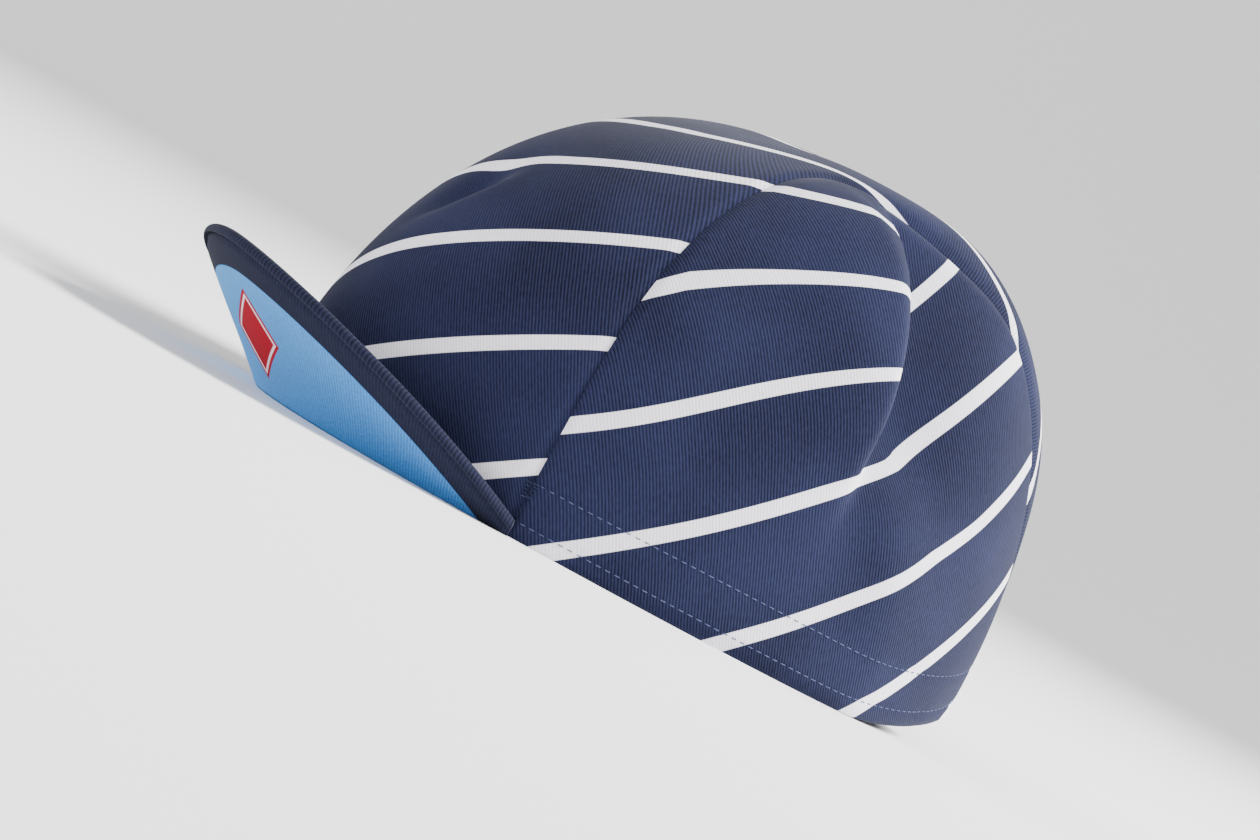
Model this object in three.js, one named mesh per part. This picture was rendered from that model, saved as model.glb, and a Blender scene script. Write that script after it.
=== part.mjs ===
// A cotton cycling cap, standing on its rim with the peak turned up.
// Millimetres, +Z up, the peak towards -Y, the wearer's left towards +X.
// The crown is three panels: one from front to back over the top, and one on each side.
import * as THREE from 'three';
import { mergeVertices } from 'three/addons/utils/BufferGeometryUtils.js';

const DEG = Math.PI / 180;

// The rim, seen from above, is an egg that is wider towards the back.
const RIM_HALF_LENGTH = 100;
const RIM_HALF_WIDTH = 75.5;
const RIM_EGG = 0.16;
// The elastic lifts the back of the rim off the table. The rest lies flat.
const REAR_LIFT = 19;
const FLAT_SHARE = 0.2;

// The crown is a dome with a superellipse as its outline in each direction.
const CROWN_HEIGHT = 116;
const TOP_SETBACK = 19;
const FRONT_FULLNESS = 2.15;
const REAR_FULLNESS = 2.0;
const SIDE_FULLNESS = 2.8;
const CROWN_WALL = 1.6;

// The seams, as an angle from the middle plane, at the front rim, at the waist on top and at the back rim.
const SEAM_FRONT_DEG = 51;
const SEAM_WAIST_DEG = 19;
const SEAM_REAR_DEG = 37;
const WAIST_PITCH_DEG = -10;
const WAIST_EASE = 0.2;
const SEAM_FRONT_CURVE = 0.8;
const SEAM_REAR_CURVE = 0.58;
const SEAM_GAP = 0.4;

// The overlocked seam allowances, turned towards the side panels inside the crown.
const ALLOWANCE_WIDTH = 4.8;
const ALLOWANCE_WALL = 1.0;
const ALLOWANCE_GAP = 0.65;
const ALLOWANCE_FOOT_GAP = 2.0;

// The sweatband and the elastic casing, which follows it round the back.
const HEM_HEIGHT = 0.8;
const BAND_HEIGHT = 17.4;
const BAND_WALL = 1.2;
const LAYER_GAP = 0.45;
const CASING_GAP = 0.7;
const CASING_HALF_SPAN_DEG = 61;
const CASING_JOIN_GAP = 0.5;

// The peak, of an upper and an under cover. The upper cover rolls over the edge.
const PEAK_LENGTH = 42.6;
const PEAK_RISE_DEG = 41;
const PEAK_HALF_SPAN_DEG = 53;
const PEAK_TAPER = 1.75;
const PEAK_TIP_SHARE = 0.97;
const COVER_WALL = 1.2;
const COVER_GAP = 0.4;
const PEAK_CLEARANCE = 0.45;

// Steps of the meshes.
const SEAM_STEPS = 36;
const SEAM_STEP_SPREAD = 0.5;
const SIDE_ROWS = 11;
const ALLOWANCE_STEPS = 42;
const CENTRE_COLUMNS = 34;
const BAND_STEPS = 46;
const CASING_SIDE_STEPS = 8;
const PEAK_STEPS = 26;
const EDGE_STEPS = 4;
const JOIN_DISTANCE = 1e-4;
const SEARCH_STEPS = 40;

// Creases and dents. across and pitch are the angles of the middle, sideways and from front to back, seen
// from the middle of the rim. turn is the direction that a crease runs in, 0 from front to back and
// 90 sideways, and bow bends it. along, before and after are how far it reaches, lengthways and towards
// either side, as shares of the distance from there. ends is how bluntly it ends, from 2 upwards.
// depth is a share of CROWN_HEIGHT. Below 0 it bulges.
const CREASES = [
  // left fold
  {
    across: 47.3, pitch: 3.4, turn: 80, bow: -0.26, along: 0.42, ends: 6,
    before: 0.034, after: 0.21, depth: 0.095,
  },
  // left fold ridge
  {
    across: 47.3, pitch: -5.1, turn: 80, bow: -0.26, along: 0.42, ends: 6,
    before: 0.2, after: 0.045, depth: -0.034,
  },
  // left lower ridge
  {
    across: 72, pitch: 36, turn: 12, bow: 0, along: 0.24, ends: 2,
    before: 0.09, after: 0.12, depth: -0.02,
  },
  // front pinch
  {
    across: -5, pitch: -57, turn: 40, bow: 0, along: 0.11, ends: 2,
    before: 0.045, after: 0.09, depth: 0.032,
  },
  // right side hollow
  {
    across: -50, pitch: 14, turn: 80, bow: -0.1, along: 0.26, ends: 2,
    before: 0.14, after: 0.1, depth: 0.036,
  },
  // right lower ridge
  {
    across: -68, pitch: 40, turn: -14, bow: 0, along: 0.26, ends: 2,
    before: 0.1, after: 0.12, depth: -0.016,
  },
  // rear top hollow
  {
    across: 4, pitch: 34, turn: 84, bow: 0, along: 0.2, ends: 2,
    before: 0.12, after: 0.1, depth: 0.016,
  },
  // left top swell
  {
    across: 26, pitch: 3, turn: 83, bow: 0, along: 0.26, ends: 2,
    before: 0.24, after: 0.36, depth: -0.034,
  },
  // left rear swell
  {
    across: 25, pitch: 46, turn: 0, bow: 0, along: 0.42, ends: 2,
    before: 0.14, after: 0.24, depth: -0.022,
  },
];

// The pleats that the elastic draws in round the back of the rim.
// at and width are angles round the rim, counted from the middle of the back towards the left.
// depth is a share of BAND_HEIGHT. reach is the height where a pleat fades, as a share of CROWN_HEIGHT.
const PLEATS = [
  { at: -37, width: 4.2, depth: 0.17, reach: 0.26 },
  { at: -26, width: 4.4, depth: 0.28, reach: 0.34 },
  { at: -15, width: 4.2, depth: 0.32, reach: 0.3 },
  { at: -4.5, width: 4.6, depth: 0.32, reach: 0.36 },
  { at: 7, width: 4.4, depth: 0.34, reach: 0.32 },
  { at: 19, width: 4.6, depth: 0.32, reach: 0.34 },
  { at: 31, width: 4.4, depth: 0.2, reach: 0.28 },
];

const navy = new THREE.MeshStandardMaterial({ color: 0x2b3358, roughness: 0.85, metalness: 0 });
const darkNavy = new THREE.MeshStandardMaterial({ color: 0x161a2c, roughness: 0.9, metalness: 0 });
const skyBlue = new THREE.MeshStandardMaterial({ color: 0x4a97d4, roughness: 0.85, metalness: 0 });
const paleGrey = new THREE.MeshStandardMaterial({ color: 0xc9c8cf, roughness: 0.9, metalness: 0 });

// The rim at an angle round it, from the front towards the left.
function rimPoint(turn) {
  const back = -Math.cos(turn);
  const lifted = Math.max(0, (back - FLAT_SHARE) / (1 - FLAT_SHARE));
  return new THREE.Vector3(
    RIM_HALF_WIDTH * Math.sin(turn) * (1 + RIM_EGG * back),
    RIM_HALF_LENGTH * back,
    REAR_LIFT * lifted ** 2,
  );
}

// A direction from the middle of the rim, by its angle sideways and its angle from front to back.
function direction(across, pitch) {
  return new THREE.Vector3(
    Math.sin(across),
    Math.cos(across) * Math.sin(pitch),
    Math.cos(across) * Math.cos(pitch),
  );
}

function fullness(turn) {
  const ends = Math.cos(turn) > 0 ? FRONT_FULLNESS : REAR_FULLNESS;
  return SIDE_FULLNESS * Math.sin(turn) ** 2 + ends * Math.cos(turn) ** 2;
}

// How far the cloth lies inside the smooth dome, from the creases and the pleats.
function sinkAt(dir, turn, height) {
  let sink = 0;
  for (const crease of CREASES) {
    const middle = direction(crease.across * DEG, crease.pitch * DEG);
    const sideways = direction((crease.across + 90) * DEG, crease.pitch * DEG);
    const backwards = new THREE.Vector3().crossVectors(middle, sideways);
    const cos = Math.cos(crease.turn * DEG);
    const sin = Math.sin(crease.turn * DEG);
    const lengthways = backwards.clone().multiplyScalar(cos).addScaledVector(sideways, sin);
    const over = backwards.clone().multiplyScalar(sin).addScaledVector(sideways, -cos);
    const offset = dir.clone().sub(middle);
    const length = offset.dot(lengthways);
    const along = Math.abs(length / crease.along) ** crease.ends;
    const beside = offset.dot(over) - crease.bow * length * length;
    const reach = beside < 0 ? crease.before : crease.after;
    const facing = Math.max(0, dir.dot(middle));
    sink += crease.depth * CROWN_HEIGHT * facing * Math.exp(-along - (beside / reach) ** 2);
  }
  const fromRear = (turn > 0 ? turn - Math.PI : turn + Math.PI) / DEG;
  for (const pleat of PLEATS) {
    const fade = Math.exp(-((height / (pleat.reach * CROWN_HEIGHT)) ** 2));
    sink += pleat.depth * BAND_HEIGHT * fade * Math.exp(-(((fromRear + pleat.at) / pleat.width) ** 2));
  }
  return sink;
}

// A point of the crown in a direction, at a depth below the outer face.
function crownPoint(dir, depth) {
  const turn = Math.atan2(dir.x, -dir.y);
  const power = 2 / fullness(turn);
  const up = Math.min(1, Math.max(0, dir.z));
  const out = Math.max(0, 1 - up * up) ** (power / 2);
  const rise = up ** power;
  const rim = rimPoint(turn);
  const height = (CROWN_HEIGHT - rim.z) * rise;
  const outwards = dir.clone()
    .divide(new THREE.Vector3(RIM_HALF_WIDTH, RIM_HALF_LENGTH, CROWN_HEIGHT))
    .normalize();
  return new THREE.Vector3(rim.x * out, TOP_SETBACK * (1 - out) + rim.y * out, rim.z + height)
    .addScaledVector(outwards, -depth - sinkAt(dir, turn, height));
}

// The same, by the angle round the rim and the height above it.
function wallPoint(turn, height, depth) {
  const rise = height / (CROWN_HEIGHT - rimPoint(turn).z);
  const up = rise ** (fullness(turn) / 2);
  const out = Math.sqrt(1 - up * up);
  return crownPoint(new THREE.Vector3(Math.sin(turn) * out, -Math.cos(turn) * out, up), depth);
}

// The seam's angle from the middle plane, at an angle from front to back. The waist is its narrowest place.
function seamAcross(pitch) {
  const waist = WAIST_PITCH_DEG * DEG;
  const isFront = pitch < waist;
  const end = isFront ? -90 * DEG : 90 * DEG;
  const endAcross = isFront ? SEAM_FRONT_DEG : SEAM_REAR_DEG;
  const curve = isFront ? SEAM_FRONT_CURVE : SEAM_REAR_CURVE;
  const eased = (steepness) => Math.hypot(steepness, WAIST_EASE) - WAIST_EASE;
  const share = eased(Math.sin(((pitch - waist) / (end - waist)) * 90 * DEG)) / eased(1);
  return (SEAM_WAIST_DEG + (endAcross - SEAM_WAIST_DEG) * share ** curve) * DEG;
}

function range(count, from, to) {
  return Array.from({ length: count + 1 }, (_, i) => from + ((to - from) * i) / count);
}

// A closed body from triangles of points. Points that fall together are joined.
function closedGeometry(triangles) {
  const loose = new THREE.BufferGeometry().setFromPoints(triangles.flat());
  const joined = mergeVertices(loose, JOIN_DISTANCE);
  const index = joined.getIndex().array;
  const kept = [];
  for (let i = 0; i < index.length; i += 3) {
    const [a, b, c] = [index[i], index[i + 1], index[i + 2]];
    if (a !== b && b !== c && c !== a) kept.push(a, b, c);
  }
  joined.setIndex(kept);
  joined.computeVertexNormals();
  return joined;
}

function quad(a, b, c, d) {
  return [[a, b, c], [a, c, d]];
}

// A wall of cloth between an outer and an inner grid of points with the same rows and columns.
// Mirrored grids run the other way round.
function sheetGeometry(outer, inner, mirrored) {
  const rows = outer.length - 1;
  const columns = outer[0].length - 1;
  const triangles = [];
  for (let i = 0; i < rows; i++) {
    const [out, outNext, into, intoNext] = [outer[i], outer[i + 1], inner[i], inner[i + 1]];
    for (let j = 0; j < columns; j++) {
      triangles.push(...quad(out[j], outNext[j], outNext[j + 1], out[j + 1]));
      triangles.push(...quad(into[j], into[j + 1], intoNext[j + 1], intoNext[j]));
    }
    triangles.push(...quad(out[0], into[0], intoNext[0], outNext[0]));
    triangles.push(...quad(out[columns], outNext[columns], intoNext[columns], into[columns]));
  }
  for (let j = 0; j < columns; j++) {
    triangles.push(...quad(outer[0][j], outer[0][j + 1], inner[0][j + 1], inner[0][j]));
    triangles.push(...quad(outer[rows][j], inner[rows][j], inner[rows][j + 1], outer[rows][j + 1]));
  }
  return closedGeometry(mirrored ? triangles.map((corners) => corners.reverse()) : triangles);
}

// A body swept through closed sections with the same number of points, with flat ends.
function sweptGeometry(sections, outline) {
  const triangles = [];
  const count = outline.length;
  for (let i = 0; i + 1 < sections.length; i++) {
    for (let j = 0; j < count; j++) {
      const k = (j + 1) % count;
      triangles.push(...quad(sections[i][j], sections[i + 1][j], sections[i + 1][k], sections[i][k]));
    }
  }
  const first = sections[0];
  const last = sections[sections.length - 1];
  for (const [a, b, c] of THREE.ShapeUtils.triangulateShape(outline, [])) {
    triangles.push([first[a], first[c], first[b]], [last[a], last[b], last[c]]);
  }
  return closedGeometry(triangles);
}

function named(name, geometry, material) {
  const mesh = new THREE.Mesh(geometry, material);
  mesh.name = name;
  return mesh;
}

// The angle that half the gap between two panels takes on the dome.
const HALF_GAP = SEAM_GAP / 2 / RIM_HALF_WIDTH;
// The rows from front to back, closer together over the top.
const PITCHES = range(SEAM_STEPS, -1, 1)
  .map((t) => 90 * DEG * t * (1 - SEAM_STEP_SPREAD + SEAM_STEP_SPREAD * t * t));

// side is 1 for the left panel and -1 for the right one.
function sidePanel(side) {
  const layer = (depth) => PITCHES.map((pitch) => {
    const share = (pitch + 90 * DEG) / (180 * DEG);
    const from = SEAM_FRONT_DEG * DEG + HALF_GAP;
    const to = (180 - SEAM_REAR_DEG) * DEG - HALF_GAP;
    const turn = from + (to - from) * share;
    const low = new THREE.Vector3(Math.sin(turn), -Math.cos(turn), 0);
    const high = direction(seamAcross(pitch) + HALF_GAP, pitch);
    return range(SIDE_ROWS, 0, 1).map((t) => {
      const dir = low.clone().lerp(high, t).normalize();
      dir.x *= side;
      return crownPoint(dir, depth);
    });
  });
  return sheetGeometry(layer(0), layer(CROWN_WALL), side < 0);
}

function centrePanel() {
  const layer = (depth) => PITCHES.map((pitch) => range(CENTRE_COLUMNS, -1, 1).map((share) => {
    const across = share * (seamAcross(pitch) - HALF_GAP);
    return crownPoint(direction(across, pitch), depth);
  }));
  return sheetGeometry(layer(0), layer(CROWN_WALL), true);
}

// The angle from front to back where the seam reaches a height above the rim, on the end's own side.
function seamPitchAt(height, end) {
  let low = end;
  let high = 0;
  for (let i = 0; i < SEARCH_STEPS; i++) {
    const middle = (low + high) / 2;
    const dir = direction(seamAcross(middle), middle);
    const above = crownPoint(dir, 0).z - rimPoint(Math.atan2(dir.x, -dir.y)).z;
    if (above < height) low = middle;
    else high = middle;
  }
  return high;
}

// The strip stops above the sweatband at both ends.
function seamAllowance(side) {
  const depth = CROWN_WALL + ALLOWANCE_GAP;
  const foot = HEM_HEIGHT + BAND_HEIGHT + ALLOWANCE_FOOT_GAP;
  const width = ALLOWANCE_WIDTH / RIM_HALF_WIDTH;
  const pitches = range(ALLOWANCE_STEPS, seamPitchAt(foot, -90 * DEG), seamPitchAt(foot, 90 * DEG));
  const layer = (below) => pitches.map((pitch) => range(1, 1, 0).map((share) => {
    const dir = direction(seamAcross(pitch) + HALF_GAP + width * share, pitch);
    dir.x *= side;
    return crownPoint(dir, below);
  }));
  return sheetGeometry(layer(depth), layer(depth + ALLOWANCE_WALL), side < 0);
}

// A band on the inside of the rim, through the given angles round it.
function bandGeometry(turns, gap) {
  const outerDepth = CROWN_WALL + gap;
  const heights = range(2, HEM_HEIGHT, HEM_HEIGHT + BAND_HEIGHT);
  const layer = (depth) => turns.map((turn) => heights.map((height) => wallPoint(turn, height, depth)));
  return sheetGeometry(layer(outerDepth), layer(outerDepth + BAND_WALL), false);
}

const CASING_START = (180 - CASING_HALF_SPAN_DEG) * DEG;

function sweatband() {
  const end = CASING_START - CASING_JOIN_GAP / RIM_HALF_WIDTH;
  return bandGeometry(range(BAND_STEPS, -end, end), LAYER_GAP);
}

function elasticCasing() {
  const seam = (180 - SEAM_REAR_DEG) * DEG;
  const turns = [
    ...range(CASING_SIDE_STEPS, CASING_START, seam).slice(0, -1),
    ...range(CENTRE_COLUMNS, seam, 2 * Math.PI - seam),
    ...range(CASING_SIDE_STEPS, 2 * Math.PI - seam, 2 * Math.PI - CASING_START).slice(1),
  ];
  return bandGeometry(turns, CASING_GAP);
}

// The peak's covers, each a section swept along the front of the rim. In the section,
// the first number runs out from the root and the second runs towards the under side.
const PEAK_HALF_THICKNESS = COVER_GAP / 2 + COVER_WALL;

function peakGeometry(outlineAt) {
  const limit = PEAK_HALF_SPAN_DEG * DEG;
  const rise = PEAK_RISE_DEG * DEG;
  const turns = range(PEAK_STEPS, -PEAK_TIP_SHARE * limit, PEAK_TIP_SHARE * limit);
  const sections = turns.map((turn) => {
    const length = PEAK_LENGTH * (1 - Math.abs(turn / limit) ** PEAK_TAPER);
    const outwards = new THREE.Vector3(Math.sin(turn), -Math.cos(turn), 0);
    const up = new THREE.Vector3(0, 0, 1);
    const along = outwards.clone().multiplyScalar(Math.cos(rise)).addScaledVector(up, Math.sin(rise));
    const under = outwards.clone().multiplyScalar(Math.sin(rise)).addScaledVector(up, -Math.cos(rise));
    const root = rimPoint(turn)
      .addScaledVector(outwards, PEAK_CLEARANCE + PEAK_HALF_THICKNESS * Math.sin(rise))
      .addScaledVector(up, PEAK_HALF_THICKNESS * Math.cos(rise));
    return outlineAt(length).map(([out, below]) => root.clone()
      .addScaledVector(along, out).addScaledVector(under, below));
  });
  return sweptGeometry(sections, outlineAt(PEAK_LENGTH).map(([x, y]) => new THREE.Vector2(x, y)));
}

function peakUpperCover() {
  const roll = COVER_WALL + COVER_GAP;
  return peakGeometry((length) => [
    [0, -PEAK_HALF_THICKNESS],
    [0, -COVER_GAP / 2],
    [length, -COVER_GAP / 2],
    ...range(EDGE_STEPS, 0, 180 * DEG).map((turn) => [
      length + roll * Math.sin(turn),
      PEAK_HALF_THICKNESS * Math.cos(turn),
    ]),
  ]);
}

function peakUnderCover() {
  return peakGeometry((length) => [
    [0, COVER_GAP / 2],
    [0, PEAK_HALF_THICKNESS],
    [length - COVER_GAP, PEAK_HALF_THICKNESS],
    [length - COVER_GAP, COVER_GAP / 2],
  ]);
}

const cap = new THREE.Group();
cap.add(
  named('crown_panel_left', sidePanel(1), navy),
  named('crown_panel_right', sidePanel(-1), navy),
  named('crown_panel_centre', centrePanel(), navy),
  named('seam_allowance_left', seamAllowance(1), paleGrey),
  named('seam_allowance_right', seamAllowance(-1), paleGrey),
  named('sweatband', sweatband(), darkNavy),
  named('elastic_casing', elasticCasing(), darkNavy),
  named('peak_upper_cover', peakUpperCover(), navy),
  named('peak_under_cover', peakUnderCover(), skyBlue),
);

// The origin is the middle of the foot of the whole cap's box.
const box = new THREE.Box3().setFromObject(cap);
const middle = box.getCenter(new THREE.Vector3());
cap.position.set(-middle.x, -middle.y, -box.min.z);
cap.updateMatrixWorld(true);

export default cap;
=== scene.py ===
import math
from collections import namedtuple

import bpy
import numpy as np
from mathutils import Matrix, Vector


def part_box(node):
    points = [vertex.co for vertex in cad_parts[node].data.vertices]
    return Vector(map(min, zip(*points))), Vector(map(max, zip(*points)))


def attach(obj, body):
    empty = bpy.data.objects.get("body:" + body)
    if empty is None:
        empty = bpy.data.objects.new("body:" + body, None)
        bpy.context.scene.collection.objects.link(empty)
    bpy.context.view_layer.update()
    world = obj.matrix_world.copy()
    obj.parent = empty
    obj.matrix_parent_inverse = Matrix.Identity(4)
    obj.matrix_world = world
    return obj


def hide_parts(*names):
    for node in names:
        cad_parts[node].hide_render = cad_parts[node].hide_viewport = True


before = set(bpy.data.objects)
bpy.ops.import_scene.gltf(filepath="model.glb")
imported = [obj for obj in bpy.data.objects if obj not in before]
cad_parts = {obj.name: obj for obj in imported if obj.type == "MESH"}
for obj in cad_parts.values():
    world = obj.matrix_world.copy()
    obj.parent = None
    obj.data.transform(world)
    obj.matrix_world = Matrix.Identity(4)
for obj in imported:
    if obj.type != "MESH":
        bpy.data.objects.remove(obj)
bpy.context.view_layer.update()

DEG = math.pi / 180
MM = 0.001

# The rim and the dome, as the solids have them.
RIM_HALF_LENGTH = 100 * MM
RIM_HALF_WIDTH = 75.5 * MM
RIM_EGG = 0.16
REAR_LIFT = 19 * MM
FLAT_SHARE = 0.2
CROWN_HEIGHT = 116 * MM
TOP_SETBACK = 19 * MM
FRONT_FULLNESS = 2.15
REAR_FULLNESS = 2.0
SIDE_FULLNESS = 2.8
CROWN_WALL = 1.6 * MM

# The seams, as an angle from the middle plane.
SEAM_FRONT_DEG = 51
SEAM_WAIST_DEG = 19
SEAM_REAR_DEG = 37
WAIST_PITCH_DEG = -10
WAIST_EASE = 0.2
SEAM_FRONT_CURVE = 0.8
SEAM_REAR_CURVE = 0.58
ALLOWANCE_WIDTH = 4.8 * MM
ALLOWANCE_WALL = 1.0 * MM
ALLOWANCE_GAP = 0.65 * MM
ALLOWANCE_FOOT_GAP = 2.0 * MM

# The ribbon inside the rim.
HEM_HEIGHT = 0.8 * MM
BAND_HEIGHT = 17.4 * MM
BAND_WALL = 1.2 * MM
LAYER_GAP = 0.45 * MM
CASING_GAP = 0.7 * MM
CASING_HALF_SPAN_DEG = 61
CASING_JOIN_GAP = 0.5 * MM

# The peak.
PEAK_LENGTH = 42.6 * MM
PEAK_RISE_DEG = 41
PEAK_HALF_SPAN_DEG = 53
PEAK_TAPER = 1.75
PEAK_TIP_SHARE = 0.97
COVER_WALL = 1.2 * MM
COVER_GAP = 0.4 * MM
PEAK_CLEARANCE = 0.45 * MM

# Creases of the crown, with the same columns as the solids' table.
Crease = namedtuple("Crease", "across pitch turn bow along ends before after depth")
CREASES = (
    # left fold
    Crease(
        across=47.3, pitch=3.4, turn=80, bow=-0.26, along=0.42, ends=6,
        before=0.034, after=0.21, depth=0.095,
    ),
    # left fold ridge
    Crease(
        across=47.3, pitch=-5.1, turn=80, bow=-0.26, along=0.42, ends=6,
        before=0.2, after=0.045, depth=-0.034,
    ),
    # left lower ridge
    Crease(
        across=72, pitch=36, turn=12, bow=0, along=0.24, ends=2,
        before=0.09, after=0.12, depth=-0.02,
    ),
    # front pinch
    Crease(
        across=-5, pitch=-57, turn=40, bow=0, along=0.11, ends=2,
        before=0.045, after=0.09, depth=0.032,
    ),
    # right side hollow
    Crease(
        across=-50, pitch=14, turn=80, bow=-0.1, along=0.26, ends=2,
        before=0.14, after=0.1, depth=0.036,
    ),
    # right lower ridge
    Crease(
        across=-68, pitch=40, turn=-14, bow=0, along=0.26, ends=2,
        before=0.1, after=0.12, depth=-0.016,
    ),
    # rear top hollow
    Crease(
        across=4, pitch=34, turn=84, bow=0, along=0.2, ends=2,
        before=0.12, after=0.1, depth=0.016,
    ),
    # left top swell
    Crease(
        across=26, pitch=3, turn=83, bow=0, along=0.26, ends=2,
        before=0.24, after=0.36, depth=-0.034,
    ),
    # left rear swell
    Crease(
        across=25, pitch=46, turn=0, bow=0, along=0.42, ends=2,
        before=0.14, after=0.24, depth=-0.022,
    ),
)

LEFT_FOLD = CREASES[0]

# Pleats round the back of the rim, with the same columns as the solids' table.
Pleat = namedtuple("Pleat", "at width depth reach")
PLEATS = (
    Pleat(at=-37, width=4.2, depth=0.17, reach=0.26),
    Pleat(at=-26, width=4.4, depth=0.28, reach=0.34),
    Pleat(at=-15, width=4.2, depth=0.32, reach=0.3),
    Pleat(at=-4.5, width=4.6, depth=0.32, reach=0.36),
    Pleat(at=7, width=4.4, depth=0.34, reach=0.32),
    Pleat(at=19, width=4.6, depth=0.32, reach=0.34),
    Pleat(at=31, width=4.4, depth=0.2, reach=0.28),
)

# Steps of the fine meshes.
SIDE_STEPS = (190, 64)
CENTRE_STEPS = (230, 100)
TOP_COLUMNS = 6
BAND_STEPS = (240, 10)
CASING_STEPS = (200, 12)
ALLOWANCE_POINTS = (160, 5)
SEAM_SEARCH_POINTS = 4000
PEAK_STEPS = 150
PEAK_FLAT_POINTS = 18
PEAK_ROLL_POINTS = 13
UNDER_POINTS = 60
UNDER_BACK_SKIP = 4

# Each panel's stripes: their repeat, the place of one, their slope, and how length along them is counted.
STRIPE_WIDTH = 3.9 * MM
Stripes = namedtuple("Stripes", "repeat anchor slope along_side along_up")
LEFT_STRIPES = Stripes(repeat=37.8 * MM, anchor=48 * MM, slope=0.87, along_side=0.91, along_up=0.42)
RIGHT_STRIPES = Stripes(repeat=30.8 * MM, anchor=18 * MM, slope=-0.55, along_side=0.876, along_up=-0.482)
CENTRE_STRIPES = Stripes(repeat=38.3 * MM, anchor=48 * MM, slope=0.7, along_side=0.9, along_up=0.72)

# In front of the fold the left panel's stripes bend ever more behind this line and above this height.
BEND = 200
BEND_LINE = -50 * MM
BEND_HEIGHT = 45 * MM

# Behind the fold they are set off, near it and above its lower end, and bend towards the rear.
# Places along and beside a crease are lengths on a unit sphere.
DRAWN_SHARE = 0.21
DRAWN_HEIGHT = 77 * MM
DRAWN_MOST = 4 * MM
DRAWN_REACH = 0.35
DRAWN_END = 0.46
DRAWN_EASE = 0.12
REAR_BEND = 2.5

# The narrow turn of the cloth into the fold is wider at its lower end, and hides the stripe at its upper end.
TURN_START = 0.042
TURN_WIDTH = 0.03
TURN_SPREAD = 0.2
SPREAD_START = 0.22
SPREAD_EASE = 0.2
HIDDEN_END = -0.22
NO_STRIPE = 0.5

# The twill's ribs sway a little and are broken up by the yarn. Shares are of the texture's tone.
RIB_PITCH = 0.75 * MM
RIB_SWAY = 0.5
RIB_SHARE = 0.6
YARN_ALONG = 1.1
YARN_ACROSS = 0.5
YARN_SHARE = 0.5
PATCH_DEPTH = 0.12
PRINT_REPEAT = 27 * MM
STRIPE_BLUR = 0.0045
TWILL_RELIEF = 0.1 * MM
TWILL_BUMP = 0.6

# The slanting lines of the cloth's back, crossed by fainter ones, and the stripes that show through.
BACK_LINE_PITCH = 0.8 * MM
BACK_LINE_SLANT = 0.9
BACK_LINE_SHARE = 0.45
BACK_CROSS_PITCH = 0.7 * MM
BACK_CROSS_SLANT = 0.3
BACK_CROSS_SHARE = 0.25
BACK_FIBRE_SHARE = 0.4
BACK_TEXTURE_SHARE = 0.8
BACK_STRIPE_SHARE = 0.4
BACK_STRIPE_RANGE = (-0.03, 0.05)

# The ribbon's weave, and, in shares of its width, its finer edges, the line sunk by them and darkened there
# with painted shade, and a painted highlight along its upper lip.
WEAVE_PITCH = 1.5 * MM
WEAVE_RANGE = (-0.35, 0.55)
WEAVE_SHARE = 0.85
WEAVE_RELIEF = 0.2 * MM
WEAVE_BUMP = 0.9
SELVEDGE_RANGE = (0.33, 0.35)
SELVEDGE_SHARE = 0.45
SUNK_LINE = 0.335
SUNK_LINE_RANGE = (0.004, 0.022)
SUNK_LINE_PAINTED_SHADE = 0.15
LIP_HIGHLIGHT_RANGE = (0.955, 0.985)
LIP_HIGHLIGHT_SHARE = 0.45
RIBBON_FIBRE_SHARE = 0.3

# The swell of the ribbon, and the folds of the gathered casing.
RIBBON_PUFF = 0.25 * MM
GATHER_DEPTH = 1.5 * MM
GATHER_START_DEG = 4.5
GATHER_PITCH_DEG = 11.5
GATHER_SPAN_DEG = 48
CASING_STAND = 1.9 * MM
CASING_RIPPLE = 1.1 * MM
CASING_RIPPLE_RATE = 0.42
CASING_RIPPLE_START = 0.6
CASING_STAND_SPAN_DEG = 52

# How far the hem is turned up inside, and the strip of sky cotton outside along the peak's root.
HEM_TURN = 15.5 * MM
ROOT_STRIP = 2.5 * MM
ROOT_STRIP_SHARE = 0.87

# Rows of stitches above the rim, each in a groove, and the bars of stitches at the seams' front ends.
STITCH_ROWS = (4.0 * MM, 14.5 * MM)
STITCH_LENGTH = 1.6 * MM
STITCH_SPACE = 0.9 * MM
STITCH_RADIUS = 0.13 * MM
STITCH_GROOVE = 0.3 * MM
GROOVE_HALF_WIDTH = 0.8 * MM
BAR_HEIGHT = 9.6 * MM
BAR_STITCHES = 10
BAR_STEP = 0.45 * MM
BAR_WIDTH = 2.4 * MM
BAR_SUNK = 0.2 * MM

# The panels are drawn a hair apart along a seam, with their edges turned in.
SEAM_SPLIT = 0.06 * MM
SEAM_DIP = 0.9 * MM
SEAM_ROLL = 1.7 * MM
EDGE_ROUNDNESS = 0.35

# A stitch: places along it, and its heights there in thread radii.
STITCH_PLACES = np.array([0, 0.2, 0.5, 0.8, 1.0])
STITCH_HEIGHTS = np.array([-0.9, 0.35, 0.6, 0.35, -0.9])
THREAD_SIDES = 6
THREAD_TAPER = 0.45
THREAD_RELIEF = 0.05 * MM
THREAD_BUMP = 0.6

# The overlock thread and the needle stitches of the seam allowances.
OVERLOCK_PITCH = 1.5 * MM
OVERLOCK_RADIUS = 0.3 * MM
OVERLOCK_LIFT = 0.25 * MM
CHAIN_LIFT = 0.1 * MM
NEEDLE_LENGTH = 2.2 * MM
NEEDLE_SPACE = 1.0 * MM
NEEDLE_RADIUS = 0.2 * MM
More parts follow.
